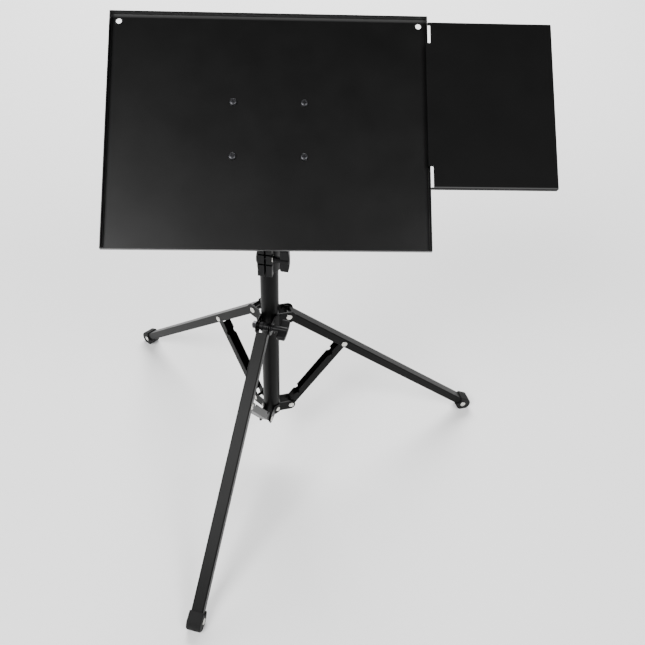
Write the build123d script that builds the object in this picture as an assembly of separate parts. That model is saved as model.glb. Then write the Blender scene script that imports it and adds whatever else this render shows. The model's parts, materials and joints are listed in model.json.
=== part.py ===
from build123d import *
import os
from math import acos, atan2, cos, degrees, hypot, radians, sin, sqrt

# A folding music stand: a steel tray with a lift-off side shelf, on a telescopic mast with a tripod.
# Millimetres. While it is built, the mast's axis is X = Y = 0, the floor is Z = 0, +X is the
# reader's right and +Y points away from the reader. export_all() then centres the whole on X and Y.

# ---- driving dimensions ----
# tray and shelf
TRAY_WIDTH = 380.0
TRAY_DEPTH = 291.4
TRAY_WALL = 6.5            # height of the rim above the tray's floor
TRAY_SHEET = 1.2
TRAY_TILT = 40.0           # degrees, back edge raised
TRAY_OFFSET_X = 3.3        # the tray's centre stands this far right of the mast
SCREW_SPACING_X = 84.2
SCREW_SPACING_Y = 67.0
SCREW_CENTRE_Y = 1.2       # the screw pattern's centre, up the tray from its middle
HANG_HOLE_R = 3.5
HANG_HOLE_INSET = 10.0
SHELF_WIDTH = 150.5        # from the tray's side to the shelf's free edge
SHELF_FRONT = -70.8        # the shelf's ends, along the tray's depth from its centre
SHELF_BACK = 137.4
SHELF_LIP = 5.0
SHELF_NOTCH_WIDTH = 3.2
SHELF_NOTCH_LENGTH = 27.0

# mast
TUBE_R = 13.0
TUBE_WALL = 1.5
TUBE_BOTTOM = 78.0
TUBE_TOP = 405.0
POST_R = 10.9
POST_WALL = 1.5
POST_BOTTOM = 245.0
POST_TOP = 536.5
TILT_PIVOT_Z = 555.3
TILT_PIVOT_DROP = 28.1     # from the tray's floor down to the tilt bolt

# tripod: a leg hangs from the crown at its pivot, and a brace holds it off the lower hub
FRONT_AZIMUTH = -106.3
LEG_PIVOT = (26.0, 275.4)  # radius and height
LEG_SLOPE = 40.12          # degrees below the horizontal
LEG_REACH = 409.7          # leg pivot to foot rivet
LEG_WIDTH = 17.1
LEG_ABOVE = 7.4            # leg section above and below the line of its rivets
LEG_BELOW = 5.6
LEG_WALL = 1.2
BRACE_STATION = 114.7      # leg pivot to brace rivet
HUB_PIVOT = (30.15, 87.2)  # radius and height
BRACE_WIDTH = 14.0

# fasteners
RIVET_R = 2.5
RIVET_HEAD_R = 4.4
BOLT_R = 3.0               # crown and tilt bolts
COLLAR_BOLT_R = 2.5
RUNNING = 0.05             # radial clearance of a pin that turns

# fold: a brace turns in by one unit while its leg turns by LEG_RATIO units
LEG_RATIO = 1.36
BRACE_FOLD = 29.5          # degrees of brace travel from open to folded
CROWN_DRIFT = 1.3          # sideways play that the crown needs over the fold

# ---- worked out from the above ----
AZIMUTHS = {"front": FRONT_AZIMUTH, "right": FRONT_AZIMUTH + 120, "left": FRONT_AZIMUTH - 120}
GAP_AZIMUTHS = [azimuth + 60 for azimuth in AZIMUTHS.values()]
BRACE_TOP = (
    LEG_PIVOT[0] + BRACE_STATION * cos(radians(LEG_SLOPE)),
    LEG_PIVOT[1] - BRACE_STATION * sin(radians(LEG_SLOPE)),
)
BRACE_LENGTH = hypot(BRACE_TOP[0] - HUB_PIVOT[0], BRACE_TOP[1] - HUB_PIVOT[1])
BRACE_RISE = degrees(atan2(BRACE_TOP[1] - HUB_PIVOT[1], BRACE_TOP[0] - HUB_PIVOT[0]))
TRAY_ORIGIN = (
    TRAY_OFFSET_X,
    -TILT_PIVOT_DROP * sin(radians(TRAY_TILT)),
    TILT_PIVOT_Z + TILT_PIVOT_DROP * cos(radians(TRAY_TILT)),
)
EAR_INNER = LEG_WIDTH / 2 + 1.2      # crown ears stand off the leg's sides by this much
EAR_SHEET = 1.2
EAR_OUTER = EAR_INNER + EAR_SHEET
HUB_INNER = BRACE_WIDTH / 2 + 0.4
HUB_SHEET = 1.6
HUB_OUTER = HUB_INNER + HUB_SHEET

parts = {}


# ---- frames ----
def at_azimuth(azimuth):
    """Local X points out from the mast, local Y runs sideways, local Z is up."""
    return Rot(0, 0, azimuth)


def leg_frame(azimuth):
    """Local X runs down the leg from its pivot, local Z points up off the leg's top face."""
    return Rot(0, 0, azimuth) * Pos(LEG_PIVOT[0], 0, LEG_PIVOT[1]) * Rot(0, LEG_SLOPE, 0)


def brace_frame(azimuth):
    """Local X runs up the brace from the hub rivet, local Z points in towards the mast."""
    return Rot(0, 0, azimuth) * Pos(HUB_PIVOT[0], 0, HUB_PIVOT[1]) * Rot(0, -BRACE_RISE, 0)


def tray_frame():
    """Local X and Y lie on the tray's floor, with Y up the slope, and Z is the floor's normal."""
    return Pos(*TRAY_ORIGIN) * Rot(TRAY_TILT, 0, 0)


# ---- shared shapes ----
def slab(profile, low, high):
    """A plate with its outline in local X and Z, between two values of local Y."""
    return Pos(0, high, 0) * extrude(Plane.XZ * profile, amount=high - low)


def block(x, y, z):
    """A box given by its (low, high) pair along each axis."""
    size = [high - low for low, high in (x, y, z)]
    centre = [(high + low) / 2 for low, high in (x, y, z)]
    return Pos(*centre) * Box(*size)


def rod_y(radius, low, high, x=0.0, z=0.0):
    """A cylinder along local Y."""
    return Pos(x, (low + high) / 2, z) * Rot(90, 0, 0) * Cylinder(radius, high - low)


def upright(radius, low, high):
    """A cylinder along Z on the local axis."""
    return Pos(0, 0, (low + high) / 2) * Cylinder(radius, high - low)


def ring_y(outer, inner, low, high):
    return rod_y(outer, low, high) - rod_y(inner, low - 1, high + 1)


def head_profile(shank, head, base, rise, dimple):
    """Half section of a domed head on a shank: local X is the radius, local Y is the pin's axis."""
    rim = base + 0.35 * rise
    crown = base + rise
    edge = Polyline((0, 0), (shank, 0), (shank, base), (head, base), (head, rim))
    dome = ThreePointArc((head, rim), (0.62 * head, base + 0.86 * rise), (dimple, crown))
    cup = Polyline((dimple, crown), (0.6 * dimple, crown - 0.5), (0, crown - 0.5), (0, 0))
    return make_face(edge + dome + cup)


def rivet(half_grip, shank=RIVET_R, head=RIVET_HEAD_R, rise=1.3):
    """A semi-tubular rivet along local Y, headed on both sides of a stack."""
    side = revolve(head_profile(shank, head, half_grip, rise, 1.5), Axis.Y)
    return side + mirror(side, Plane.XZ)


def group(shapes):
    """Several separate solids kept as one piece's node."""
    return Compound([solid for shape in shapes for solid in shape.solids()])


def hexagon_y(across_flats, low, high):
    """A hexagonal prism along local Y."""
    return slab(RegularPolygon(across_flats / 2, 6, major_radius=False), low, high)


def hex_nut_y(across_flats, bore, low, high):
    """A nut along local Y, its corners turned down as on a real one."""
    rounded = hexagon_y(across_flats, low, high) & rod_y(across_flats * 0.55, low, high)
    return rounded - rod_y(bore, low - 1, high + 1)


WING_CURVE = 82.0          # the wing's outer edge is an arc of this radius


def wing_knob(neck_low, wing_low, wing_high, span, bolt_r, turn):
    """A moulded wing knob on local +Y: a round neck, then a flat wing across it."""
    middle = (wing_low + wing_high) / 2
    width = wing_high - wing_low
    wing = Pos(0, middle, 0) * Box(8.0, width, span)
    wing = fillet(wing.edges().filter_by(Axis.X), 3.0)
    wing = fillet(wing.edges().filter_by(GeomType.LINE).filter_by(Axis.Z), 2.4)
    wing &= Pos(0, wing_high - WING_CURVE, 0) * Rot(0, 90, 0) * Cylinder(WING_CURVE, 20)
    hub = Pos(0, middle, 0) * Rot(90, 0, 0) * Cylinder(5.0, width - 1.6)
    neck = rod_y(4.4, neck_low, middle)
    knob = wing + hub + neck
    socket = rod_y(bolt_r, neck_low - 1, wing_high - 4.0)
    return Rot(0, turn, 0) * (knob - socket)


# ---- mast ----
def outer_tube():
    """Seam-welded tube, open at both ends, rounded at its lower rim."""
    tube = upright(TUBE_R, TUBE_BOTTOM, TUBE_TOP) - upright(TUBE_R - TUBE_WALL, TUBE_BOTTOM - 1, TUBE_TOP + 1)
    for azimuth in GAP_AZIMUTHS:
        tube -= tube_rivet_hole(azimuth)
    return tube


def tube_end_plug():
    """Moulded plug that closes the tube's lower end."""
    cap = upright(TUBE_R, TUBE_BOTTOM - 3.0, TUBE_BOTTOM)
    cap = fillet(cap.edges().group_by(Axis.Z)[0], 1.5)
    return cap + upright(TUBE_R - TUBE_WALL - 0.1, TUBE_BOTTOM, TUBE_BOTTOM + 6.0)


HUB_PLATE_HALF_HEIGHT = 8.7
HUB_PLATE_END = 36.6
HUB_TAIL_R = 3.0


def hub_plate(azimuth):
    """One of three pressings round the tube's foot: a curved middle with an ear at each side."""
    low, high = HUB_PIVOT[1] - HUB_PLATE_HALF_HEIGHT, HUB_PIVOT[1] + HUB_PLATE_HALF_HEIGHT
    bore = TUBE_R + 0.02
    ear_centre = HUB_PLATE_END - HUB_PLATE_HALF_HEIGHT
    outline = Pos((ear_centre + 5) / 2, HUB_PIVOT[1]) * Rectangle(ear_centre - 5, 2 * HUB_PLATE_HALF_HEIGHT)
    outline += Pos(ear_centre, HUB_PIVOT[1]) * Circle(HUB_PLATE_HALF_HEIGHT)
    outline -= Pos(*HUB_PIVOT) * Circle(RIVET_R + 0.02)
    plate = pressing(azimuth, outline, bore, HUB_SHEET, HUB_INNER, low, high)
    return plate - tube_rivet_hole(azimuth)


def tube_rivet_hole(azimuth):
    """The hole for a hub rivet, through the plate and the tube's wall."""
    return at_azimuth(azimuth) * Pos(TUBE_R, 0, HUB_PIVOT[1]) * Rot(0, 90, 0) * Cylinder(2.02, 8)


def pressing(azimuth, ear_outline, bore, sheet, ear_inner, low, high):
    """Join a curved middle to the two ears that point along the neighbouring legs."""
    middle = upright(bore + sheet, low, high)
    ears = Part()
    for side in (-1, 1):
        leg_turn = at_azimuth(azimuth + 60 * side)
        inner = -ear_inner - sheet if side > 0 else ear_inner
        ears += leg_turn * slab(ear_outline, inner, inner + sheet)
        middle -= leg_turn * block((0, 40), (-ear_inner, ear_inner), (low - 1, high + 1))
        middle -= leg_turn * block((-40, 0), (-40, 40), (low - 1, high + 1))
    plate = middle + ears - upright(bore, low - 1, high + 1)
    return plate.solids().sort_by(SortBy.VOLUME)[-1]


def hub_tube_rivet(azimuth):
    """Blind rivet through the hub plate and the tube's wall."""
    seat = TUBE_R + 0.02 + HUB_SHEET
    tail = sqrt((TUBE_R - TUBE_WALL) ** 2 - HUB_TAIL_R ** 2) - 0.02
    outside = revolve(head_profile(2.0, 3.7, seat, 1.2, 1.2), Axis.Y)
    inside = rod_y(HUB_TAIL_R, tail - 1.6, tail)
    body = (outside & rod_y(5.0, tail - 1.6, seat + 2.0)) + inside
    return at_azimuth(azimuth - 90) * Pos(0, 0, HUB_PIVOT[1]) * body


# ---- collar: a split clamp on the outer tube that grips the inner post ----
COLLAR_AZIMUTH = -101.0
COLLAR_BOTTOM = 363.5
COLLAR_TOP = 420.5
COLLAR_R = 16.5
COLLAR_LUG_FRONT = 23.8
COLLAR_LUG_HALF = 10.7     # the nut's lug, on the left
COLLAR_KNOB_LUG = 9.4      # the knob's lug, on the right
COLLAR_BOLT_AT = (18.6, 391.5)
COLLAR_GROOVES = (383.5, 399.5)
COLLAR_GAP = 2.6


def collar_clamp():
    """Glass-filled nylon moulding with two ribbed lugs, split between them down its front."""
    body = upright(COLLAR_R, COLLAR_BOTTOM, COLLAR_TOP)
    body = fillet(body.edges().filter_by(GeomType.CIRCLE), 1.2)
    lugs = block((6, COLLAR_LUG_FRONT), (-COLLAR_LUG_HALF, COLLAR_KNOB_LUG), (COLLAR_BOTTOM, COLLAR_TOP))
    lugs = fillet(lugs.edges().group_by(Axis.X)[-1], 1.0)
    for height in COLLAR_GROOVES:
        frame = block((17.2, 30), (-20, 20), (height - 1.2, height + 1.2))
        core = block(
            (10, COLLAR_LUG_FRONT - 3.2), (-COLLAR_LUG_HALF + 2.4, COLLAR_KNOB_LUG - 2.4), (300, 500)
        )
        lugs -= frame - core
    boss = rod_y(10.8, -COLLAR_LUG_HALF - 1.6, -COLLAR_LUG_HALF + 1, 13.6, COLLAR_BOLT_AT[1])
    boss = fillet(boss.edges().group_by(Axis.Y)[0], 1.2)
    body += lugs + boss
    body -= upright(TUBE_R + 0.05, COLLAR_BOTTOM - 1, TUBE_TOP)
    body -= upright(POST_R + RUNNING, TUBE_TOP - 1, COLLAR_TOP + 1)
    body -= block((8, 40), (-COLLAR_GAP / 2, COLLAR_GAP / 2), (COLLAR_BOTTOM - 1, COLLAR_TOP + 1))
    body -= rod_y(COLLAR_BOLT_R + RUNNING, -20, 20, *COLLAR_BOLT_AT)
    pocket = hexagon_y(8.4, -COLLAR_LUG_HALF - 3, -COLLAR_LUG_HALF + 2.4)
    body -= Pos(COLLAR_BOLT_AT[0], 0, COLLAR_BOLT_AT[1]) * pocket
    return at_azimuth(COLLAR_AZIMUTH) * body.solids().sort_by(SortBy.VOLUME)[-1]


def collar_place():
    return at_azimuth(COLLAR_AZIMUTH) * Pos(COLLAR_BOLT_AT[0], 0, COLLAR_BOLT_AT[1])


def collar_hardware():
    """Nut in the lug's pocket, washer under the knob, knob and its bolt."""
    place = collar_place()
    nut = hex_nut_y(8.0, COLLAR_BOLT_R + RUNNING, -COLLAR_LUG_HALF - 1.4, -COLLAR_LUG_HALF + 2.3)
    washer = ring_y(5.0, COLLAR_BOLT_R + RUNNING, COLLAR_KNOB_LUG, COLLAR_KNOB_LUG + 1.0)
    parts["collar_nut"] = place * nut
    parts["collar_washer"] = place * washer
    parts["collar_knob"] = place * wing_knob(COLLAR_KNOB_LUG + 1.3, 19.5, 33.0, 36.0, COLLAR_BOLT_R, 0)
    parts["collar_bolt"] = place * rod_y(COLLAR_BOLT_R, -COLLAR_LUG_HALF - 1.6, 29.0)


# ---- crown: three pressings that slide on the tube and carry the legs ----
CROWN_BOTTOM = 252.5
CROWN_TOP = 284.4
CROWN_EAR_BOTTOM = 264.6
CROWN_EAR_END = 36.6
CROWN_BORE = TUBE_R + CROWN_DRIFT + 0.3


def crown_plate(azimuth, pin_r):
    """Tall where it wraps the tube, with a rounded ear at each side and a pilot hole at its foot."""
    ear_r = (CROWN_TOP - CROWN_EAR_BOTTOM) / 2
    ear_mid = (CROWN_TOP + CROWN_EAR_BOTTOM) / 2
    ear_x = CROWN_EAR_END - ear_r
    outline = make_face(Polyline(
        (4, CROWN_BOTTOM), (12.5, CROWN_BOTTOM), (18.5, CROWN_EAR_BOTTOM), (ear_x, CROWN_EAR_BOTTOM),
        (ear_x, CROWN_TOP), (4, CROWN_TOP), (4, CROWN_BOTTOM),
    ))
    outline += Pos(ear_x, ear_mid) * Circle(ear_r)
    outline -= Pos(*LEG_PIVOT) * Circle(pin_r)
    outline -= Pos(14.2, 262.0) * Circle(1.3)
    return pressing(azimuth, outline, CROWN_BORE, EAR_SHEET, EAR_INNER, CROWN_BOTTOM, CROWN_TOP)


def crown_hardware():
    """Two pivot rivets, and at the front leg a clamp bolt with nut, washers and wing knob."""
    pivots = [at_azimuth(AZIMUTHS[name]) * Pos(LEG_PIVOT[0], 0, LEG_PIVOT[1]) for name in ("right", "left")]
    parts["crown_pivot_rivets"] = group([place * rivet(EAR_OUTER) for place in pivots])
    front = at_azimuth(AZIMUTHS["front"]) * Pos(LEG_PIVOT[0], 0, LEG_PIVOT[1])
    bore = BOLT_R + RUNNING
    left_washer = ring_y(6.2, bore, -EAR_OUTER - 1.0, -EAR_OUTER)
    right_washer = ring_y(6.2, bore, EAR_OUTER, EAR_OUTER + 1.0)
    parts["crown_washers"] = group([front * left_washer, front * right_washer])
    parts["crown_nut"] = front * hex_nut_y(10.0, bore, -EAR_OUTER - 5.6, -EAR_OUTER - 1.0)
    parts["crown_knob"] = front * wing_knob(EAR_OUTER + 1.3, 21.5, 35.0, 32.0, BOLT_R, -73)
    parts["crown_bolt"] = front * rod_y(BOLT_R, -EAR_OUTER - 7.0, 31.0)


def leg_spacer():
    """Ribbed nylon barrel that keeps the front leg's walls apart under the clamp bolt."""
    half = LEG_WIDTH / 2 - LEG_WALL - 0.05
    barrel = rod_y(5.2, -half, half)
    for centre in (-3.0, 2.6):
        barrel += rod_y(6.3, centre - 1.6, centre + 1.6)
    return leg_frame(AZIMUTHS["front"]) * (barrel - rod_y(BOLT_R + RUNNING, -20, 20))


def leg_shims():
    """Nylon shims between the front leg's sides and the crown's ears."""
    low, high = LEG_WIDTH / 2 + 0.02, EAR_INNER - 0.1
    place = leg_frame(AZIMUTHS["front"])
    pair = [ring_y(6.4, BOLT_R + RUNNING, low, high), ring_y(6.4, BOLT_R + RUNNING, -high, -low)]
    return group([place * shim for shim in pair])


# ---- legs ----
LEG_END = LEG_REACH + 6.0
LEG_TOP_CUT = {"front": 10.5, "right": -1.0, "left": -1.0}  # where the top wall starts
LEG_BOTTOM_CUT = 155.5     # the underside is open as far as this, to take the folded brace


def leg_tube(azimuth, pin_r, top_cut):
    """Rectangular steel tube with its upper end cut open for the pivot and the brace."""
    half = LEG_WIDTH / 2
    tube = block((-LEG_ABOVE, LEG_END), (-half, half), (-LEG_BELOW, LEG_ABOVE))
    tube = fillet(tube.edges().filter_by(Axis.X), 1.5)
    inside = (-half + LEG_WALL, half - LEG_WALL)
    bore = block((-20, LEG_END + 1), inside, (-LEG_BELOW + LEG_WALL, LEG_ABOVE - LEG_WALL))
    tube -= fillet(bore.edges().filter_by(Axis.X), 0.5)
    tube -= block((-20, top_cut), inside, (0, 20))
    tube -= block((-20, LEG_BOTTOM_CUT), inside, (-20, 0))
    nose = Pos(LEG_ABOVE / 2, 0) * Rectangle(LEG_ABOVE * 3, 30) - Circle(LEG_ABOVE)
    nose -= Pos(20, 0) * Rectangle(40, 30)
    tube -= slab(nose, -half - 1, half + 1)
    tube -= rod_y(pin_r, -half - 1, half + 1)
    for station in (BRACE_STATION, LEG_REACH):
        tube -= rod_y(RIVET_R + 0.02, -half - 1, half + 1, station)
    return leg_frame(azimuth) * tube.solids().sort_by(SortBy.VOLUME)[-1]


SHOE_START = LEG_REACH - 12.2
SHOE_R = 12.4              # the shoe's round end
SHOE_CENTRE = LEG_REACH + 2.5
SHOE_SKIN = 1.8


def tangent_point(x, z, radius, side):
    """Where a line from (x, z) touches a circle about the origin; side is +1 above, -1 below."""
    turn = atan2(z, x) - side * acos(radius / hypot(x, z))
    return radius * cos(turn), radius * sin(turn)


def rubber_shoe(azimuth):
    """Moulded shoe pushed over the leg's end: round-ended, flat where it stands, with scooped sides."""
    half = LEG_WIDTH / 2 + SHOE_SKIN
    low, high = -LEG_BELOW - SHOE_SKIN, LEG_ABOVE + SHOE_SKIN
    start = SHOE_START - SHOE_CENTRE
    upper, lower = tangent_point(start, high, SHOE_R, 1), tangent_point(start, low, SHOE_R, -1)
    outline = make_face(Polyline((start, low), lower, upper, (start, high), (start, low))) + Circle(SHOE_R)
    shoe = slab(outline, -half, half)
    shoe = fillet(shoe.faces().sort_by(Axis.Y)[0].edges() + shoe.faces().sort_by(Axis.Y)[-1].edges(), 1.7)
    shoe = Pos(SHOE_CENTRE, 0, 0) * shoe
    leg_hole = block((0, LEG_END), (-LEG_WIDTH / 2, LEG_WIDTH / 2), (-LEG_BELOW, LEG_ABOVE))
    shoe -= fillet(leg_hole.edges().filter_by(Axis.X), 1.5)
    core = block((LEG_REACH + 3.2, LEG_END + 0.5), (-half + 6, half - 6), (-LEG_BELOW + 2, LEG_ABOVE - 2))
    shoe += core
    shoe -= rod_y(RIVET_R + 0.02, -20, 20, LEG_REACH)
    shoe -= rod_y(6.2, -20, 20, SHOE_START - 1.5, (low + high) / 2)
    placed = leg_frame(azimuth) * shoe
    return placed - block((-500, 500), (-500, 500), (-60, 0))


def leg_rivet(azimuth, station, half_grip):
    return leg_frame(azimuth) * Pos(station, 0, 0) * rivet(half_grip)


# ---- braces ----
BRACE_BELOW = 4.3
BRACE_ABOVE = 7.2
BRACE_WALL = 1.2
BRACE_END_R = 5.6
BRACE_WEB_MARGIN = 9.0
BRACE_NOTCH_R = 4.0
BRACE_NOTCH_INSET = 26.7


def brace(azimuth):
    """Steel channel, open towards the mast, with two round notches in both of its walls."""
    shoulder = 10.0
    outline = make_face(Polyline(
        (0, -BRACE_BELOW), (BRACE_LENGTH, -BRACE_BELOW), (BRACE_LENGTH, BRACE_END_R),
        (BRACE_LENGTH - shoulder, BRACE_ABOVE), (shoulder, BRACE_ABOVE), (0, BRACE_END_R), (0, -BRACE_BELOW),
    ))
    for end in (0, BRACE_LENGTH):
        outline += Pos(end, 0) * (Circle(BRACE_END_R) & Rectangle(12, 2 * BRACE_BELOW + 20))
    for notch in (BRACE_NOTCH_INSET, BRACE_LENGTH - BRACE_NOTCH_INSET):
        outline -= Pos(notch, BRACE_ABOVE) * Circle(BRACE_NOTCH_R)
    for end in (0, BRACE_LENGTH):
        outline -= Pos(end, 0) * Circle(RIVET_R + RUNNING)
    half = BRACE_WIDTH / 2
    channel = slab(outline, -half, half)
    inside = (-half + BRACE_WALL, half - BRACE_WALL)
    channel -= block((-20, BRACE_LENGTH + 20), inside, (-BRACE_BELOW + BRACE_WALL, 20))
    for low, high in ((-20, BRACE_WEB_MARGIN), (BRACE_LENGTH - BRACE_WEB_MARGIN, BRACE_LENGTH + 20)):
        channel -= block((low, high), inside, (-20, 20))
    return brace_frame(azimuth) * channel.solids().sort_by(SortBy.VOLUME)[-1]


def hub_brace_rivet(azimuth):
    return at_azimuth(azimuth) * Pos(HUB_PIVOT[0], 0, HUB_PIVOT[1]) * rivet(HUB_OUTER, rise=1.2)


# ---- inner post and tilt head ----
HEAD_BOTTOM = 505.0
HEAD_TOP = 541.0
HEAD_R = 15.0
TONGUE_HALF = 8.0
TONGUE_R = 11.0
CHEEK_INNER = TONGUE_HALF + 0.35
CHEEK_SHEET = 2.5
CHEEK_OUTER = CHEEK_INNER + CHEEK_SHEET
MOUNT_SHEET = 2.0


def inner_post():
    return upright(POST_R, POST_BOTTOM, POST_TOP) - upright(POST_R - POST_WALL, POST_BOTTOM - 1, POST_TOP + 1)


def post_bush():
    """Nylon bush on the post's lower end, a running fit in the outer tube."""
    flange = upright(TUBE_R - TUBE_WALL - RUNNING, POST_BOTTOM - 8.0, POST_BOTTOM)
    flange = chamfer(flange.edges().filter_by(GeomType.CIRCLE), 0.8)
    spigot = upright(POST_R - POST_WALL - 0.02, POST_BOTTOM, POST_BOTTOM + 16.0)
    return flange + spigot - upright(6.0, POST_BOTTOM - 9, POST_BOTTOM + 17)


def head_socket():
    """Socket on the post's upper end, with a tongue for the tilt bolt."""
    socket = upright(HEAD_R, HEAD_BOTTOM, HEAD_TOP)
    socket = fillet(socket.edges().filter_by(GeomType.CIRCLE), 1.5)
    tongue_outline = Pos(0, (HEAD_TOP - 8 + TILT_PIVOT_Z) / 2) * Rectangle(
        2 * TONGUE_R, TILT_PIVOT_Z - HEAD_TOP + 8
    )
    tongue_outline += Pos(0, TILT_PIVOT_Z) * Circle(TONGUE_R)
    tongue = Rot(0, 0, 90) * slab(tongue_outline, -TONGUE_HALF, TONGUE_HALF)
    body = socket + tongue
    body -= upright(POST_R + RUNNING, HEAD_BOTTOM - 1, POST_TOP + 0.02)
    body -= Pos(0, 0, TILT_PIVOT_Z) * Rot(0, 0, -90) * rod_y(BOLT_R + RUNNING, -20, 20)
    body -= Rot(0, 0, 90) * Pos(POST_R + 3, 0, HEAD_BOTTOM + 12) * Rot(0, 90, 0) * Cylinder(2.52, 12)
    return body


def head_screw():
    """Knurled screw at the back that steadies the head on the post."""
    shank = Pos(0, 0, 0.5) * Cylinder(2.5, 7.5)
    grip = Pos(0, 0, 6.5) * Cylinder(5.5, 6.0)
    grip = chamfer(grip.edges().filter_by(GeomType.CIRCLE), 0.8)
    for flute in range(12):
        grip -= Rot(0, 0, flute * 30) * Pos(6.0, 0, 6.5) * Cylinder(0.9, 10)
    screw = shank + grip
    return Rot(0, 0, 90) * Pos(POST_R + 3.9, 0, HEAD_BOTTOM + 12) * Rot(0, 90, 0) * screw


def mount_plate():
    """Flat plate screwed under the tray."""
    plate = block((-52, 52), (-43.5, 43.5), (-TRAY_SHEET - MOUNT_SHEET, -TRAY_SHEET))
    plate = fillet(plate.edges().filter_by(Axis.Z), 6.0)
    for place in screw_places():
        plate -= place * Cylinder(2.52, 20)
    return tray_frame() * plate


def tilt_bracket():
    """Channel welded under the plate; its two cheeks take the tilt bolt."""
    top = -TRAY_SHEET - MOUNT_SHEET
    centre = -TRAY_OFFSET_X
    base = block((centre - CHEEK_OUTER, centre + CHEEK_OUTER), (-22, 22), (top - CHEEK_SHEET, top))
    cheek = make_face(Polyline(
        (-22, top), (22, top), (22, top - 6), (TONGUE_R, -TILT_PIVOT_DROP), (-TONGUE_R, -TILT_PIVOT_DROP),
        (-22, top - 6), (-22, top),
    ))
    cheek += Pos(0, -TILT_PIVOT_DROP) * Circle(TONGUE_R)
    cheek -= Pos(0, -TILT_PIVOT_DROP) * Circle(BOLT_R + RUNNING)
    bracket = base
    for side in (-1, 1):
        low = min(side * CHEEK_INNER, side * CHEEK_OUTER)
        panel = Rot(0, 0, 90) * slab(cheek, low, low + CHEEK_SHEET)
        bracket += Pos(centre, 0, 0) * panel
    return tray_frame() * bracket


def tilt_hardware():
    """Bolt, washers, nut and wing knob across the tilt joint."""
    place = tray_frame() * Pos(-TRAY_OFFSET_X, 0, -TILT_PIVOT_DROP) * Rot(0, 0, -90)
    bore = BOLT_R + RUNNING
    parts["tilt_washers"] = group([
        place * ring_y(7.0, bore, CHEEK_OUTER, CHEEK_OUTER + 1.0),
        place * ring_y(7.0, bore, -CHEEK_OUTER - 1.0, -CHEEK_OUTER),
    ])
    parts["tilt_nut"] = place * hex_nut_y(10.0, bore, -CHEEK_OUTER - 5.8, -CHEEK_OUTER - 1.0)
    parts["tilt_knob"] = place * wing_knob(CHEEK_OUTER + 1.3, 23.0, 37.0, 36.0, BOLT_R, 90)
    parts["tilt_bolt"] = place * rod_y(BOLT_R, -CHEEK_OUTER - 7.2, 33.0)


# ---- tray ----
def screw_places():
    half_x, half_y = SCREW_SPACING_X / 2, SCREW_SPACING_Y / 2
    return [Pos(x, SCREW_CENTRE_Y + y, 0) for x in (-half_x, half_x) for y in (-half_y, half_y)]


def tray_pan():
    """Pressed pan with a low rim all round, two hanging holes and four screw holes."""
    half_x, half_y = TRAY_WIDTH / 2, TRAY_DEPTH / 2
    pan = block((-half_x, half_x), (-half_y, half_y), (-TRAY_SHEET, TRAY_WALL))
    pan = fillet(pan.edges().group_by(Axis.Z)[0], 1.8)
    inner_x, inner_y = half_x - TRAY_SHEET, half_y - TRAY_SHEET
    cavity = block((-inner_x, inner_x), (-inner_y, inner_y), (0, TRAY_WALL + 5))
    pan -= fillet(cavity.edges().group_by(Axis.Z)[0], 0.8)
    for side in (-1, 1):
        pan -= Pos(side * (half_x - HANG_HOLE_INSET), half_y - HANG_HOLE_INSET, 0) * Cylinder(HANG_HOLE_R, 20)
    for place in screw_places():
        pan -= place * Cylinder(2.52, 20)
    return tray_frame() * pan


def pan_head_screw():
    """M5 pan head with a cross recess, its head on the tray's floor."""
    head = make_face(
        Polyline((0, -12), (2.5, -12), (2.5, 0), (4.5, 0), (4.5, 1.2))
        + ThreePointArc((4.5, 1.2), (3.3, 2.35), (0, 2.9))
        + Line((0, 2.9), (0, -12))
    )
    screw = revolve(Plane.XZ * head, Axis.Z)
    for turn in (0, 90):
        screw -= Rot(0, 0, turn + 20) * block((-2.5, 2.5), (-0.5, 0.5), (1.5, 5))
    return screw


def side_shelf():
    """Lift-off shelf: its inner edge hooks over the tray's rim, and its end lips butt against the rim."""
    wall_x = TRAY_WIDTH / 2
    free_x = wall_x + SHELF_WIDTH
    under = TRAY_WALL + 0.3
    top = under + TRAY_SHEET
    rim_in = wall_x - TRAY_SHEET - 0.35
    hook_x = rim_in - TRAY_SHEET
    plate = block((hook_x, free_x), (SHELF_FRONT, SHELF_BACK), (under - SHELF_LIP, top))
    plate = fillet(plate.edges().filter_by(Axis.Z).group_by(Axis.X)[-1], 1.5)
    outer_edges = plate.edges().group_by(Axis.Z)[-1]
    plate = fillet(outer_edges, 1.0)
    cavity_x = (rim_in, free_x - TRAY_SHEET)
    plate -= block(cavity_x, (SHELF_FRONT + TRAY_SHEET, SHELF_BACK - TRAY_SHEET), (under - 20, under))
    # the two lips stop short of the rim, and the notches free the corners
    for low, high in ((SHELF_FRONT - 5, SHELF_FRONT + TRAY_SHEET), (SHELF_BACK - TRAY_SHEET, SHELF_BACK + 5)):
        plate -= block((hook_x - 5, wall_x + 0.35), (low, high), (under - 20, top + 5))
    for end, inward in ((SHELF_FRONT, 1), (SHELF_BACK, -1)):
        low = end + inward * TRAY_SHEET
        high = end + inward * SHELF_NOTCH_LENGTH
        span = (min(low, high), max(low, high))
        plate -= block((hook_x - 5, wall_x + 0.35), span, (under - 20, top + 5))
        notch_r = SHELF_NOTCH_WIDTH / 2
        inner_end = high - inward * notch_r
        straight = (min(low, inner_end), max(low, inner_end))
        plate -= block((wall_x, wall_x + SHELF_NOTCH_WIDTH), straight, (under - 20, top + 5))
        plate -= Pos(wall_x + notch_r, inner_end, under) * Cylinder(notch_r, 30)
    return tray_frame() * plate.solids().sort_by(SortBy.VOLUME)[-1]


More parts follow.
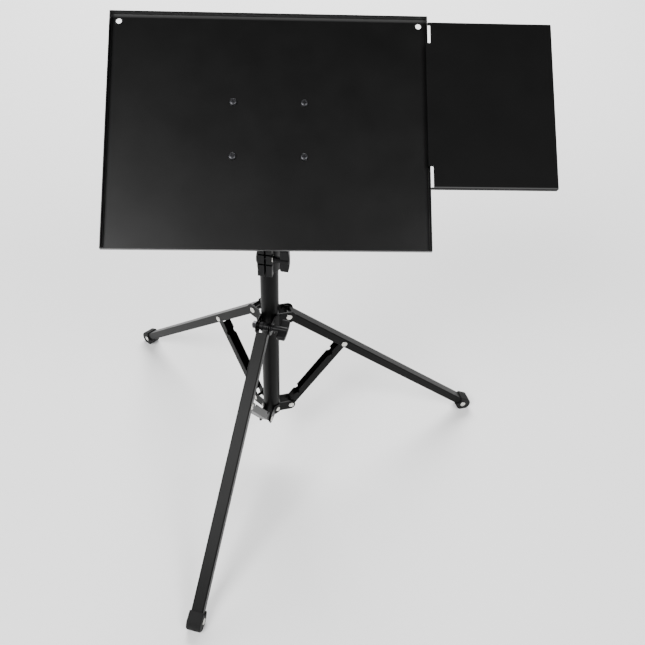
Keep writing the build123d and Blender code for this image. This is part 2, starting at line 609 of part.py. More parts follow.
# ---- assembly ----
def build_mast():
    parts["outer_tube"] = outer_tube()
    parts["tube_end_plug"] = tube_end_plug()
    for number, azimuth in enumerate(GAP_AZIMUTHS, start=1):
        parts[f"hub_plate_{number}"] = hub_plate(azimuth)
        pin_r = RIVET_R + 0.02
        parts[f"crown_plate_{number}"] = crown_plate(azimuth, pin_r if number == 2 else BOLT_R + RUNNING)
    parts["hub_tube_rivets"] = group([hub_tube_rivet(azimuth) for azimuth in GAP_AZIMUTHS])
    parts["hub_brace_rivets"] = group([hub_brace_rivet(azimuth) for azimuth in AZIMUTHS.values()])
    parts["collar_clamp"] = collar_clamp()
    collar_hardware()
    crown_hardware()


def build_tripod():
    for name, azimuth in AZIMUTHS.items():
        pin_r = BOLT_R + RUNNING if name == "front" else RIVET_R + 1.5 * CROWN_DRIFT + 0.1
        parts[f"leg_{name}"] = leg_tube(azimuth, pin_r, LEG_TOP_CUT[name])
        parts[f"shoe_{name}"] = rubber_shoe(azimuth)
        parts[f"shoe_rivet_{name}"] = leg_rivet(azimuth, LEG_REACH, LEG_WIDTH / 2 + SHOE_SKIN)
        parts[f"brace_rivet_{name}"] = leg_rivet(azimuth, BRACE_STATION, LEG_WIDTH / 2)
        parts[f"brace_{name}"] = brace(azimuth)
    parts["leg_spacer"] = leg_spacer()
    parts["leg_shims"] = leg_shims()


def build_top():
    parts["inner_post"] = inner_post()
    parts["post_bush"] = post_bush()
    parts["head_socket"] = head_socket()
    parts["head_screw"] = head_screw()
    parts["mount_plate"] = mount_plate()
    parts["tilt_bracket"] = tilt_bracket()
    tilt_hardware()
    parts["tray_pan"] = tray_pan()
    screw = pan_head_screw()
    frame = tray_frame()
    parts["tray_screws"] = group([frame * place * screw for place in screw_places()])
    under = -TRAY_SHEET - MOUNT_SHEET
    nut = Rot(-90, 0, 0) * hex_nut_y(8.0, 2.52, -under, -under + 4.0)
    parts["tray_nuts"] = group([frame * place * nut for place in screw_places()])
    parts["side_shelf"] = side_shelf()


build_mast()
build_tripod()
build_top()
BOXES = [part.bounding_box() for part in parts.values()]
LOW = [min(getattr(box.min, axis) for box in BOXES) for axis in "XYZ"]
HIGH = [max(getattr(box.max, axis) for box in BOXES) for axis in "XYZ"]
CENTRE = [(low + high) / 2 for low, high in zip(LOW, HIGH)]


def export_all():
    """Centre the stand over the origin and write one file for each piece."""
    os.makedirs("parts", exist_ok=True)
    for name, part in parts.items():
        export_step(Pos(-CENTRE[0], -CENTRE[1], 0) * part, f"parts/{name}.step")
    size = " x ".join(f"{high - low:.1f}" for low, high in zip(LOW, HIGH))
    print(f"{len(parts)} pieces, {size} mm, lowest point at {LOW[2]:.3f}")


export_all()
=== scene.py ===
import json
from math import cos, pi, radians, sin

import bpy
from mathutils import Matrix, Vector


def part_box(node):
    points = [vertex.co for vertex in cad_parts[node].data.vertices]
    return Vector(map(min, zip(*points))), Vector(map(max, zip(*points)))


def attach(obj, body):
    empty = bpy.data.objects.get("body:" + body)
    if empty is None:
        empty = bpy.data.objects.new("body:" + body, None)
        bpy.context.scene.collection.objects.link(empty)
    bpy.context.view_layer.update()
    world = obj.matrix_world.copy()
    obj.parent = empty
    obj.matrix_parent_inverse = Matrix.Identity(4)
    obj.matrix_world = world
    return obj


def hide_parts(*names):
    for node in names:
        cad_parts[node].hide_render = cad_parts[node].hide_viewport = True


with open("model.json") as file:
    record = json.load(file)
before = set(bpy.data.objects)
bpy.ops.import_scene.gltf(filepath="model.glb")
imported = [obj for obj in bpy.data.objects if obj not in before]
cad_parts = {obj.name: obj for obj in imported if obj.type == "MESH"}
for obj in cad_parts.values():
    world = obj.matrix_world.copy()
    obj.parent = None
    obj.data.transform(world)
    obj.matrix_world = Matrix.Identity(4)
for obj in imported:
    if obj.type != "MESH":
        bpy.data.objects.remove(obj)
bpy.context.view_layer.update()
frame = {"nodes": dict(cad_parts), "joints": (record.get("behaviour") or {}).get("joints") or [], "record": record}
record = frame["record"]
joints = {joint["name"]: joint for joint in frame["joints"]}

# ---- Studio ----
# A white paper floor under two soft boxes in front, the left one brighter, and a wide one behind.
# The camera stands in front of the stand and above it, looking down at the tray.


def middle(node):
    """The centre of a CAD node's box."""
    low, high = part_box(node)
    return (Vector(low) + Vector(high)) / 2


def add_node(tree, kind, links=None, **settings):
    """Adds one node. links maps an input's name or number to a value or to another node's output."""
    node = tree.nodes.new(kind)
    for name, value in settings.items():
        setattr(node, name, value)
    for name, value in (links or {}).items():
        if isinstance(value, bpy.types.NodeSocket):
            tree.links.new(value, node.inputs[name])
        else:
            node.inputs[name].default_value = value
    return node


def linear(colour):
    """An sRGB hex colour, such as "2a2a2c", as linear RGBA."""
    values = [int(colour[i:i + 2], 16) / 255 for i in (0, 2, 4)]
    return [v / 12.92 if v <= 0.04045 else ((v + 0.055) / 1.055) ** 2.4 for v in values] + [1.0]


def new_material(name, **shader):
    """A material with one Principled shader; the shader's plain numbers are set on its sockets."""
    material = bpy.data.materials.new(name)
    material.use_nodes = True
    bsdf = material.node_tree.nodes["Principled BSDF"]
    for socket, value in shader.items():
        bsdf.inputs[socket.replace("_", " ")].default_value = value
    return material, material.node_tree, bsdf


def add_mesh(name, verts, faces, material):
    """A mesh object at the origin, with its place in its vertices."""
    mesh = bpy.data.meshes.new(name)
    mesh.from_pydata([tuple(v) for v in verts], [], faces)
    mesh.materials.append(material)
    thing = bpy.data.objects.new(name, mesh)
    bpy.context.collection.objects.link(thing)
    return thing


mast = middle("outer_tube")
mast.z = 0.0

CAMERA_PLACE = Vector((0.0328, -0.8588, 1.0118))   # from the foot of the mast
CAMERA_YAW, CAMERA_PITCH, CAMERA_ROLL = radians(-2.91), radians(41.1), radians(2.19)
CAMERA_LENS_MM = 43.48
CAMERA_SENSOR_MM = 36.0
forward = Vector((
    -sin(CAMERA_YAW) * cos(CAMERA_PITCH), cos(CAMERA_YAW) * cos(CAMERA_PITCH), -sin(CAMERA_PITCH)))
level = Vector((cos(CAMERA_YAW), sin(CAMERA_YAW), 0))
upward = level.cross(forward)
right = level * cos(CAMERA_ROLL) + upward * sin(CAMERA_ROLL)
upward = upward * cos(CAMERA_ROLL) - level * sin(CAMERA_ROLL)
camera = bpy.data.objects.new("camera", bpy.data.cameras.new("camera"))
camera.data.lens = CAMERA_LENS_MM
camera.data.sensor_width = CAMERA_SENSOR_MM
turned = Matrix((right, upward, -forward)).transposed().to_4x4()
camera.matrix_world = Matrix.Translation(mast + CAMERA_PLACE) @ turned
bpy.context.collection.objects.link(camera)
bpy.context.scene.camera = camera

# seamless paper: matt, with the faintest fibre mottling
paper, tree, bsdf = new_material("seamless_paper", Roughness=0.95, Specular_IOR_Level=0.1)
place = add_node(tree, "ShaderNodeTexCoord").outputs["Object"]
fibre = add_node(tree, "ShaderNodeTexNoise", {"Vector": place, "Scale": 900.0, "Detail": 3.0})
tint = add_node(tree, "ShaderNodeValToRGB", {"Fac": fibre.outputs["Fac"]})
tint.color_ramp.elements[0].color = linear("f4f4f4")
tint.color_ramp.elements[1].color = linear("fafafa")
tree.links.new(tint.outputs["Color"], bsdf.inputs["Base Color"])
SWEEP = 16.0         # metres from the middle to each edge of the floor
FLOOR_DROP = -0.0002
corners = [(x * SWEEP, y * SWEEP, FLOOR_DROP) for x, y in ((-1, -1), (1, -1), (1, 1), (-1, 1))]
floor = add_mesh("studio_floor", corners, [(0, 1, 2, 3)], paper)


def soft_box(name, place, target, size, power):
    """A rectangular lamp of that size in metres and power in watts, aimed at a point."""
    light = bpy.data.objects.new(name, bpy.data.lights.new(name, "AREA"))
    light.data.shape = "RECTANGLE"
    light.data.size, light.data.size_y = size
    light.data.energy = power
    aim = Vector(target) - Vector(place)
    light.matrix_world = Matrix.Translation(place) @ aim.to_track_quat("-Z", "Y").to_matrix().to_4x4()
    bpy.context.collection.objects.link(light)


soft_box("left_key", (-1.5, -1.86, 2.53), (0, 0, 0.4), (1.3, 1.3), 115.0)
soft_box("right_key", (1.5, -1.86, 2.53), (0, 0, 0.4), (1.2, 1.2), 62.0)
soft_box("back_box", (0.0, 3.2, 2.7), (0, 0, 0.3), (3.4, 1.8), 330.0)
world = bpy.data.worlds.new("studio_air")
world.use_nodes = True
world.node_tree.nodes["Background"].inputs["Color"].default_value = linear("ffffff")
world.node_tree.nodes["Background"].inputs["Strength"].default_value = 0.2
bpy.context.scene.world = world

# ---- Tubes, legs, braces and pressed plates ----
# Cold-rolled mild steel with a satin black powder coat. The coat levels out to a soft sheen with a
# fine orange peel, a little thinner and lighter in patches.


def powder_coat(name, dark, light, roughness, peel, specular):
    """Baked polyester powder: mottled colour, orange peel of that many millimetres, uneven sheen."""
    material, tree, bsdf = new_material(name, Specular_IOR_Level=specular, IOR=1.5)
    place = add_node(tree, "ShaderNodeTexCoord").outputs["Object"]
    cloud = add_node(tree, "ShaderNodeTexNoise", {"Vector": place, "Scale": 22.0, "Detail": 4.0})
    speck = add_node(tree, "ShaderNodeTexNoise", {"Vector": place, "Scale": 1000 / peel, "Detail": 2.0})
    blend = add_node(
        tree, "ShaderNodeMath", {0: cloud.outputs["Fac"], 1: speck.outputs["Fac"]}, operation="MULTIPLY")
    tint = add_node(tree, "ShaderNodeValToRGB", {"Fac": blend.outputs[0]})
    tint.color_ramp.elements[0].position = 0.12
    tint.color_ramp.elements[0].color = linear(dark)
    tint.color_ramp.elements[1].position = 0.42
    tint.color_ramp.elements[1].color = linear(light)
    sheen = add_node(tree, "ShaderNodeMapRange", {
        "Value": cloud.outputs["Fac"], 1: 0.3, 2: 0.7, 3: roughness - 0.012, 4: roughness + 0.012})
    bump = add_node(tree, "ShaderNodeBump", {
        "Height": speck.outputs["Fac"], "Strength": 0.25, "Distance": 0.00012})
    tree.links.new(tint.outputs["Color"], bsdf.inputs["Base Color"])
    tree.links.new(sheen.outputs[0], bsdf.inputs["Roughness"])
    tree.links.new(bump.outputs["Normal"], bsdf.inputs["Normal"])
    return material


def paint(slot_name, material):
    """Gives a finish to every CAD node that the record lists under one material slot."""
    for part in record["subparts"]:
        if part["material_slot"] == slot_name:
            mesh = frame["nodes"][part["node"]].data
            mesh.materials.clear()
            mesh.materials.append(material)


satin_coat = powder_coat("satin_black_powder_coat", "040404", "0a0a0a", 0.36, 1.4, 0.08)
paint("tube_powder_coat", satin_coat)

# ---- Tray and side shelf ----
# 1.2 mm sheet steel, sheared, pressed and folded, then powder coated in a finer matt black. Along the
# back rim and on the shelf's front lip, lighter bands in the coat's colour are painted highlights on the bends.
TRAY_FLOOR_ABOVE_BOLT = 0.0281
tray_up = Vector(joints["shelf_lift"]["axis"])          # square to the tray's floor
tray_back = Vector((1, 0, 0)).cross(tray_up) * -1       # up the slope, to the back rim
tray_middle = Vector(joints["tray_tilt"]["pos_m"]) + tray_up * TRAY_FLOOR_ABOVE_BOLT
tray_middle.x = middle("tray_pan").x


def tray_point(x, y, z):
    """A point given in metres to the right of the tray's centre, up its slope and above its floor."""
    return tray_middle + Vector((x, 0, 0)) + tray_back * y + tray_up * z


FLOOR_SLACK = -0.0003    # how far under the tray's floor a bend's bands may still reach


def paint_bend_highlights(material, across, above, stops, highlight_colour):
    """Lightens a coat in bands, as painted highlights in its colour. The sum of the directions across and above
    unrolls a bend, in metres.
    """
    tree = material.node_tree
    bsdf = tree.nodes["Principled BSDF"]
    place = add_node(tree, "ShaderNodeTexCoord").outputs["Object"]
    offset = add_node(
        tree, "ShaderNodeVectorMath", {0: place, 1: tray_middle}, operation="SUBTRACT").outputs[0]
    along = add_node(tree, "ShaderNodeVectorMath", {0: offset, 1: across + above}, operation="DOT_PRODUCT")
    height = add_node(tree, "ShaderNodeVectorMath", {0: offset, 1: above}, operation="DOT_PRODUCT")
    low, high = stops[0][0], stops[-1][0]
    run = add_node(tree, "ShaderNodeMapRange", {"Value": along.outputs["Value"], 1: low, 2: high})
    band = add_node(tree, "ShaderNodeValToRGB", {"Fac": run.outputs[0]})
    ramp = band.color_ramp.elements
    while len(ramp) < len(stops):
        ramp.new(0.5)
    for element, (distance, amount) in zip(ramp, stops):
        element.position = (distance - low) / (high - low)
        element.color = (amount, amount, amount, 1)
    upper = add_node(
        tree, "ShaderNodeMath", {0: height.outputs["Value"], 1: FLOOR_SLACK}, operation="GREATER_THAN")
    inside = add_node(tree, "ShaderNodeMath", {0: along.outputs["Value"], 1: high}, operation="LESS_THAN")
    share = band.outputs["Color"]
    for limit in (upper, inside):
        kept = add_node(tree, "ShaderNodeMath", {0: share, 1: limit.outputs[0]}, operation="MULTIPLY")
        share = kept.outputs[0]
    coat_colour = bsdf.inputs["Base Color"].links[0].from_socket
    mixed = add_node(
        tree, "ShaderNodeMix", {0: share, 6: coat_colour, 7: linear(highlight_colour)}, data_type="RGBA")
    tree.links.new(mixed.outputs[2], bsdf.inputs["Base Color"])


tray_coat = powder_coat("fine_matt_powder_coat", "030303", "080808", 0.35, 0.9, 0.27)
tray_half_depth = 0.1457
# painted highlights: light bands on the floor by the back bend and up the back wall
paint_bend_highlights(tray_coat, tray_back, tray_up, highlight_colour="484848", stops=[
    (tray_half_depth - 0.006, 0.0), (tray_half_depth - 0.0038, 0.5), (tray_half_depth - 0.0022, 0.6),
    (tray_half_depth - 0.0012, 0.0), (tray_half_depth + 0.0005, 0.6), (tray_half_depth + 0.0035, 0.7),
    (tray_half_depth + 0.0046, 0.2), (tray_half_depth + 0.0066, 0.2)])
paint("tray_powder_coat", tray_coat)

shelf_coat = powder_coat("deep_matt_powder_coat", "040404", "090909", 0.6, 0.9, 0.1)
shelf_front_edge = 0.0708
# painted highlight: a thin light line along the bend of the shelf's front lip
paint_bend_highlights(shelf_coat, -tray_back, tray_up * 0.0, highlight_colour="484848", stops=[
    (shelf_front_edge - 0.0022, 0.0), (shelf_front_edge - 0.0014, 1.0), (shelf_front_edge - 0.0006, 0.8),
    (shelf_front_edge - 0.0002, 0.0), (shelf_front_edge + 0.0004, 0.0)])
frame["nodes"]["side_shelf"].data.materials.clear()
frame["nodes"]["side_shelf"].data.materials.append(shelf_coat)

# ---- Moulded nylon: collar, wing knobs, plugs, head and spacers ----
# Injection-moulded nylon 6 with glass fibre, in black: a spark-eroded texture, slightly greyer than
# the steel, with a soft gloss that follows how the plastic flowed.
nylon, tree, bsdf = new_material("moulded_black_nylon", Specular_IOR_Level=0.14, IOR=1.53)
place = add_node(tree, "ShaderNodeTexCoord").outputs["Object"]
flow = add_node(tree, "ShaderNodeTexNoise", {
    "Vector": place, "Scale": 60.0, "Detail": 3.0, "Distortion": 1.5})
grain = add_node(tree, "ShaderNodeTexVoronoi", {"Vector": place, "Scale": 1800.0})
tint = add_node(tree, "ShaderNodeValToRGB", {"Fac": flow.outputs["Fac"]})
tint.color_ramp.elements[0].color = linear("060607")
tint.color_ramp.elements[1].color = linear("0e0e0f")
gloss = add_node(tree, "ShaderNodeMapRange", {"Value": flow.outputs["Fac"], 1: 0.3, 2: 0.7, 3: 0.36, 4: 0.5})
bump = add_node(tree, "ShaderNodeBump", {
    "Height": grain.outputs["Distance"], "Strength": 0.2, "Distance": 0.0001})
tree.links.new(tint.outputs["Color"], bsdf.inputs["Base Color"])
tree.links.new(gloss.outputs[0], bsdf.inputs["Roughness"])
tree.links.new(bump.outputs["Normal"], bsdf.inputs["Normal"])
paint("black_nylon", nylon)

# ---- Rubber shoes ----
# Compression-moulded SBR rubber, pushed over the leg ends and pinned there by a rivet each: dull
# black, bloomed grey in places.
rubber, tree, bsdf = new_material("moulded_rubber", Specular_IOR_Level=0.2, IOR=1.52)
place = add_node(tree, "ShaderNodeTexCoord").outputs["Object"]
bloom = add_node(tree, "ShaderNodeTexNoise", {"Vector": place, "Scale": 90.0, "Detail": 5.0})
tint = add_node(tree, "ShaderNodeValToRGB", {"Fac": bloom.outputs["Fac"]})
tint.color_ramp.elements[0].color = linear("0a0a0a")
tint.color_ramp.elements[1].color = linear("161616")
gloss = add_node(tree, "ShaderNodeMapRange", {"Value": bloom.outputs["Fac"], 3: 0.6, 4: 0.85})
bump = add_node(tree, "ShaderNodeBump", {
    "Height": bloom.outputs["Fac"], "Strength": 0.3, "Distance": 0.0002})
tree.links.new(tint.outputs["Color"], bsdf.inputs["Base Color"])
tree.links.new(gloss.outputs[0], bsdf.inputs["Roughness"])
tree.links.new(bump.outputs["Normal"], bsdf.inputs["Normal"])
paint("shoe_rubber", rubber)

# ---- Nickel-plated rivets ----
# Semi-tubular steel rivets, barrel plated in bright nickel, with fine scuffs from the tumbling. They
# pin the braces, the two rear legs and the shoes, and hold the lower hub's plates to the tube.
nickel, tree, bsdf = new_material("bright_nickel_plate", Metallic=1.0)
place = add_node(tree, "ShaderNodeTexCoord").outputs["Object"]
scuff = add_node(tree, "ShaderNodeTexNoise", {
    "Vector": place, "Scale": 500.0, "Detail": 6.0, "Distortion": 3.0})
tint = add_node(tree, "ShaderNodeValToRGB", {"Fac": scuff.outputs["Fac"]})
tint.color_ramp.elements[0].color = linear("a9a8a4")
tint.color_ramp.elements[1].color = linear("dedcd6")
gloss = add_node(tree, "ShaderNodeMapRange", {"Value": scuff.outputs["Fac"], 3: 0.16, 4: 0.4})
tree.links.new(tint.outputs["Color"], bsdf.inputs["Base Color"])
tree.links.new(gloss.outputs[0], bsdf.inputs["Roughness"])
paint("nickel_plate", nickel)


def new_tree(name, sizes):
    """A geometry tree with a number for each named size, a material and the geometry itself."""
    tree = bpy.data.node_groups.new(name, "GeometryNodeTree")
    tree.interface.new_socket("Geometry", in_out="INPUT", socket_type="NodeSocketGeometry")
    for size in sizes:
        tree.interface.new_socket(size, in_out="INPUT", socket_type="NodeSocketFloat")
    tree.interface.new_socket("Material", in_out="INPUT", socket_type="NodeSocketMaterial")
    tree.interface.new_socket("Geometry", in_out="OUTPUT", socket_type="NodeSocketGeometry")
    return tree, add_node(tree, "NodeGroupInput").outputs


def domed_head(tree, radius, rise, rings):
    """A closed round head on Z = 0. Each ring is a share of the rise and a scale of the last ring."""
    disc = add_node(
        tree, "GeometryNodeMeshCircle", {"Vertices": 28, "Radius": radius}, fill_type="NGON").outputs[0]
    head, top = disc, True
    for share, scale in rings:
        step = add_node(tree, "ShaderNodeMath", {0: rise, 1: share}, operation="MULTIPLY")
        raised = add_node(tree, "GeometryNodeExtrudeMesh", {
            "Mesh": head, "Selection": top, "Offset Scale": step.outputs[0], "Individual": False})
        top = raised.outputs["Top"]
        scaled = add_node(tree, "GeometryNodeScaleElements", {0: raised.outputs["Mesh"], 1: top, 2: scale})
        head = scaled.outputs[0]
    underside = add_node(tree, "GeometryNodeFlipFaces", {0: disc}).outputs[0]
    shell = join(tree, head, underside)
    return add_node(tree, "GeometryNodeMergeByDistance", {"Geometry": shell, "Distance": 0.00001}).outputs[0]


def place_copies(tree, inputs, shape):
    """Puts the shape on every point, with its Z along the point's axis, and finishes the tree."""
    axis = add_node(tree, "GeometryNodeInputNamedAttribute", {"Name": "axis"}, data_type="FLOAT_VECTOR")
    turn = add_node(tree, "FunctionNodeAlignRotationToVector", {"Vector": axis.outputs[0]}, axis="Z")
    copies = add_node(tree, "GeometryNodeInstanceOnPoints", {
        "Points": inputs["Geometry"], "Instance": shape, "Rotation": turn.outputs[0]})
    solid = add_node(tree, "GeometryNodeRealizeInstances", {0: copies.outputs[0]})
    add_node(tree, "NodeGroupOutput", {"Geometry": solid.outputs[0]})


def join(tree, *shapes):
    """Joins shapes that already have their materials."""
    joined = add_node(tree, "GeometryNodeJoinGeometry")
    for shape in shapes:
        tree.links.new(shape, joined.inputs[0])
    return joined.outputs[0]


def finished(tree, shape, material):
    """The shape with its material set."""
    return add_node(tree, "GeometryNodeSetMaterial", {"Geometry": shape, "Material": material}).outputs[0]


def grow(name, tree, places, sizes, material, body, node):
    """Runs a tree over (point, axis) places, keeps the mesh, and lets it stand for a CAD node."""
    mesh = bpy.data.meshes.new(name)
    mesh.from_pydata([tuple(point) for point, axis in places], [], [])
    directions = mesh.attributes.new("axis", "FLOAT_VECTOR", "POINT")
    directions.data.foreach_set("vector", [value for point, axis in places for value in axis])
    piece = bpy.data.objects.new(name, mesh)
    bpy.context.collection.objects.link(piece)
    growth = piece.modifiers.new("growth", "NODES")
    growth.node_group = tree
    for socket in tree.interface.items_tree:
        if socket.in_out == "INPUT" and socket.name in sizes:
            growth[socket.identifier] = sizes[socket.name]
        if socket.in_out == "INPUT" and socket.name == "Material":
            growth[socket.identifier] = material
    evaluated = piece.evaluated_get(bpy.context.evaluated_depsgraph_get())
    grown = bpy.data.meshes.new_from_object(evaluated)
    piece.modifiers.remove(growth)
    piece.data = grown
    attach(piece, body)
    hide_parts(node)


rivet_tree, inputs = new_tree("semi_tubular_rivet", ["Head radius", "Rise", "Half grip", "Shank radius"])
# a rolled edge, a low dome, and the dimple that the setting punch leaves
rivet_head = domed_head(rivet_tree, inputs["Head radius"], inputs["Rise"], [
    (0.30, 1.0), (0.22, 0.955), (0.22, 0.90), (0.16, 0.82), (0.08, 0.70), (0.02, 0.80), (-0.28, 0.86),
    (-0.02, 0.5)])
lift = add_node(rivet_tree, "ShaderNodeCombineXYZ", {"Z": inputs["Half grip"]})
near = add_node(rivet_tree, "GeometryNodeTransform", {
    "Geometry": rivet_head, "Translation": lift.outputs[0]})
far = add_node(rivet_tree, "GeometryNodeTransform", {
    "Geometry": near.outputs[0], "Rotation": (pi, 0, 0)})
grip = add_node(rivet_tree, "ShaderNodeMath", {0: inputs["Half grip"], 1: 2.0}, operation="MULTIPLY")
shank = add_node(rivet_tree, "GeometryNodeMeshCylinder", {
    "Vertices": 20, "Radius": inputs["Shank radius"], "Depth": grip.outputs[0]})
heads = finished(rivet_tree, join(rivet_tree, near.outputs[0], far.outputs[0]), inputs["Material"])
# between the plates the shank is painted dark: painted shade where it lies between the plates
shaded_shank, tree, bsdf = new_material("shank_painted_shade", Metallic=0.6, Roughness=0.5)
place = add_node(tree, "ShaderNodeTexCoord").outputs["Object"]
shank_mottle = add_node(tree, "ShaderNodeTexNoise", {"Vector": place, "Scale": 400.0, "Detail": 3.0})
tint = add_node(tree, "ShaderNodeValToRGB", {"Fac": shank_mottle.outputs["Fac"]})
tint.color_ramp.elements[0].color = linear("0e0e0e")
tint.color_ramp.elements[1].color = linear("2a2a28")
tree.links.new(tint.outputs["Color"], bsdf.inputs["Base Color"])
place_copies(rivet_tree, inputs, join(rivet_tree, heads, finished(rivet_tree, shank.outputs[0], shaded_shank)))


RIVET_SHANK_RADIUS = 0.0024


def rivets(node, body, places, half_grip, head=0.0044, rise=0.0013):
    """Sets rivets at (centre, axis) places. half_grip is half of what lies between their two heads."""
    sizes = {
        "Head radius": head, "Rise": rise, "Half grip": half_grip, "Shank radius": RIVET_SHANK_RADIUS}
    grow(node + "_set", rivet_tree, places, sizes, nickel, body, node)


def joint_place(name):
    """The point and the axis of a joint."""
    return Vector(joints[name]["pos_m"]), Vector(joints[name]["axis"])


LEGS = ("front", "right", "left")     # the crown's rivets hold the last two, and a bolt the first
TUBE_RIVET_OUT = 0.01276          # from the mast's axis to the middle of the grip
HUB_RIVET_HALF_GRIP = 0.009
BRACE_RIVET_HALF_GRIP = 0.00855
SHOE_RIVET_HALF_GRIP = 0.01035
CROWN_RIVET_HALF_GRIP = 0.01095
TUBE_RIVET_HALF_GRIP = 0.00186
brace_places = [joint_place(leg + "_brace_fold") for leg in LEGS]
rivets("hub_brace_rivets", "mast_body", brace_places, HUB_RIVET_HALF_GRIP, rise=0.0012)
for leg in LEGS:
    leg_pivot, sideways = joint_place(leg + "_leg_fold")
    shoe_pin = middle("shoe_rivet_" + leg)
    rivets("brace_rivet_" + leg, leg + "_leg", [(leg_pivot, sideways)], BRACE_RIVET_HALF_GRIP)
    rivets("shoe_rivet_" + leg, leg + "_leg", [(shoe_pin, sideways)], SHOE_RIVET_HALF_GRIP)
front_pivot, front_axis = joint_place("crown_level")
crown_pivots = []
for turn in (120, -120):
    spin = Matrix.Rotation(radians(turn), 3, "Z")
    crown_pivots.append((mast + spin @ (front_pivot - mast), spin @ front_axis))
rivets("crown_pivot_rivets", "crown", crown_pivots, CROWN_RIVET_HALF_GRIP)
hub_rivets = []
for turn in (60, 180, 300):
    outward = Matrix.Rotation(radians(turn), 3, "Z") @ front_axis.cross(Vector((0, 0, -1)))
    in_the_wall = Vector((mast.x, mast.y, middle("hub_tube_rivets").z)) + outward * TUBE_RIVET_OUT
    hub_rivets.append((in_the_wall, outward))
rivets("hub_tube_rivets", "mast_body", hub_rivets, TUBE_RIVET_HALF_GRIP, head=0.0037, rise=0.0012)

# ---- Black-zinc fasteners ----
# Steel screws, nuts and washers, zinc plated and passivated black: dark metal with an oily sheen.
# Three threaded bolts carry the wing knobs, and four screws hold the tray to its plate.
zinc, tree, bsdf = new_material("black_passivated_zinc", Metallic=0.85)
place = add_node(tree, "ShaderNodeTexCoord").outputs["Object"]
cloud = add_node(tree, "ShaderNodeTexNoise", {"Vector": place, "Scale": 260.0, "Detail": 4.0})
tint = add_node(tree, "ShaderNodeValToRGB", {"Fac": cloud.outputs["Fac"]})
tint.color_ramp.elements[0].color = linear("242426")
tint.color_ramp.elements[1].color = linear("48484b")
gloss = add_node(tree, "ShaderNodeMapRange", {"Value": cloud.outputs["Fac"], 3: 0.3, 4: 0.48})
tree.links.new(tint.outputs["Color"], bsdf.inputs["Base Color"])
tree.links.new(gloss.outputs[0], bsdf.inputs["Roughness"])
paint("black_zinc", zinc)


ROWS_PER_TURN = 6.0
THREAD_HALF_DEPTH = 0.055     # as a share of the radius
THREAD_MIDDLE = 0.94


def threaded_rod(tree, radius, length, pitch):
    """A rod centred on the origin, along Z, with a rolled helical thread."""
    turns = add_node(tree, "ShaderNodeMath", {0: length, 1: pitch}, operation="DIVIDE").outputs[0]
    rows = add_node(tree, "ShaderNodeMath", {0: turns, 1: ROWS_PER_TURN}, operation="MULTIPLY").outputs[0]
    rod = add_node(tree, "GeometryNodeMeshCylinder", {
        "Vertices": 20, "Side Segments": rows, "Radius": radius, "Depth": length}).outputs[0]
    place = add_node(tree, "GeometryNodeInputPosition").outputs[0]
    parts = add_node(tree, "ShaderNodeSeparateXYZ", {0: place}).outputs
    around = add_node(
        tree, "ShaderNodeMath", {0: parts["Y"], 1: parts["X"]}, operation="ARCTAN2").outputs[0]
    climb = add_node(tree, "ShaderNodeMath", {0: parts["Z"], 1: pitch}, operation="DIVIDE").outputs[0]
    phase = add_node(
        tree, "ShaderNodeMath", {0: climb, 1: 2 * pi, 2: around}, operation="MULTIPLY_ADD").outputs[0]
    wave = add_node(tree, "ShaderNodeMath", {0: phase}, operation="COSINE").outputs[0]
    shrink = add_node(tree, "ShaderNodeMath", {
        0: wave, 1: THREAD_HALF_DEPTH, 2: THREAD_MIDDLE}, operation="MULTIPLY_ADD").outputs[0]
    factor = add_node(tree, "ShaderNodeCombineXYZ", {"X": shrink, "Y": shrink, "Z": 1.0}).outputs[0]
    moved = add_node(tree, "ShaderNodeVectorMath", {0: place, 1: factor}, operation="MULTIPLY").outputs[0]
    return add_node(tree, "GeometryNodeSetPosition", {"Geometry": rod, "Position": moved}).outputs[0]


bolt_tree, inputs = new_tree("clamp_bolt", ["Radius", "Length", "Pitch"])
rod = threaded_rod(bolt_tree, inputs["Radius"], inputs["Length"], inputs["Pitch"])
place_copies(bolt_tree, inputs, finished(bolt_tree, rod, inputs["Material"]))


def clamp_bolt(name, joint, radius, pitch):
    """The bolt in a wing knob; its length is what its CAD box leaves along the axis."""
    axis = Vector(joints[joint]["axis"])
    low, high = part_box(name)
    span = high[0] - low[0]
    length = (span - 2 * radius * (1 - axis.x ** 2) ** 0.5) / abs(axis.x)
    sizes = {"Radius": radius, "Length": length, "Pitch": pitch}
    body = joints[joint]["child"]
    grow(name + "_threaded", bolt_tree, [(middle(name), axis)], sizes, zinc, body, name)


clamp_bolt("collar_bolt", "collar_knob_turn", 0.0025, 0.0008)
clamp_bolt("crown_bolt", "crown_knob_turn", 0.003, 0.001)
clamp_bolt("tilt_bolt", "tilt_knob_turn", 0.003, 0.001)

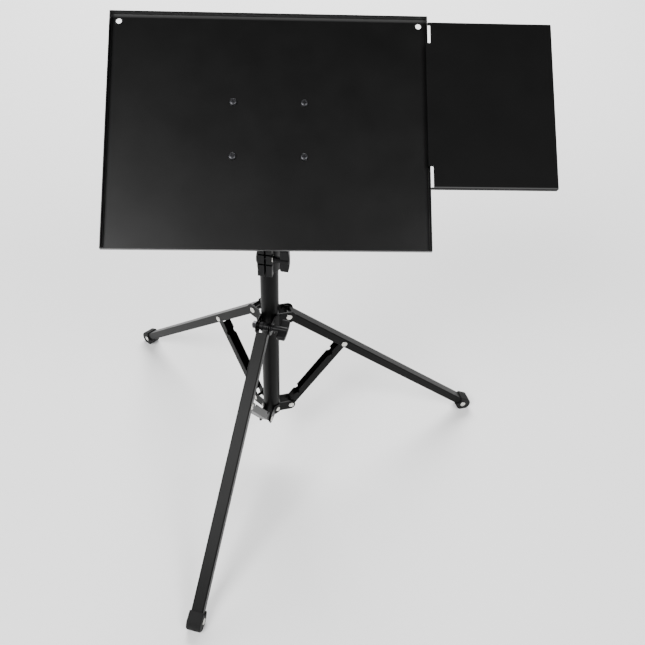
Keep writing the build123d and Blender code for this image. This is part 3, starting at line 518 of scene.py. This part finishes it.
# M5 pan heads with a cross recess, driven through the tray and the plate into nuts
screw_tree, inputs = new_tree("pan_head_screw", ["Head radius", "Rise", "Radius", "Length", "Pitch"])
pan_head = domed_head(screw_tree, inputs["Head radius"], inputs["Rise"], [
    (0.45, 1.0), (0.22, 0.95), (0.16, 0.86), (0.11, 0.74), (0.06, 0.5)])
RECESS_ABOVE_HEAD = 0.0002     # the middle of the cutting bars, above the head's top
recess_rise = add_node(
    screw_tree, "ShaderNodeMath", {0: inputs["Rise"], 1: RECESS_ABOVE_HEAD}, operation="ADD")
recess_lift = add_node(screw_tree, "ShaderNodeCombineXYZ", {"Z": recess_rise.outputs[0]}).outputs[0]
RECESS_LONG, RECESS_WIDE, RECESS_TALL = 0.0048, 0.0011, 0.003
for size in ((RECESS_LONG, RECESS_WIDE, RECESS_TALL), (RECESS_WIDE, RECESS_LONG, RECESS_TALL)):
    bar = add_node(screw_tree, "GeometryNodeMeshCube", {"Size": size}).outputs[0]
    raised = add_node(screw_tree, "GeometryNodeTransform", {"Geometry": bar, "Translation": recess_lift})
    cut = add_node(screw_tree, "GeometryNodeMeshBoolean", {"Mesh 1": pan_head, "Mesh 2": raised.outputs[0]})
    pan_head = cut.outputs[0]
rod = threaded_rod(screw_tree, inputs["Radius"], inputs["Length"], inputs["Pitch"])
half = add_node(screw_tree, "ShaderNodeMath", {0: inputs["Length"], 1: -0.5}, operation="MULTIPLY")
drop = add_node(screw_tree, "ShaderNodeCombineXYZ", {"Z": half.outputs[0]}).outputs[0]
rod = add_node(screw_tree, "GeometryNodeTransform", {"Geometry": rod, "Translation": drop}).outputs[0]
whole_screw = finished(screw_tree, join(screw_tree, pan_head, rod), inputs["Material"])
place_copies(screw_tree, inputs, whole_screw)

SCREW_CENTRE_UP = 0.0012    # of the four screws' middle, up the tray's slope
SCREW_HALF_SPAN_X = 0.0421
SCREW_HALF_SPAN_Y = 0.0335
screws = []
for side in (-1, 1):
    for end in (-1, 1):
        place = tray_point(side * SCREW_HALF_SPAN_X, SCREW_CENTRE_UP + end * SCREW_HALF_SPAN_Y, 0)
        screws.append((place, tray_up))
screw_sizes = {"Head radius": 0.0045, "Rise": 0.0029, "Radius": 0.0025, "Length": 0.012, "Pitch": 0.0008}
grow("tray_screw_set", screw_tree, screws, screw_sizes, zinc, "tray", "tray_screws")
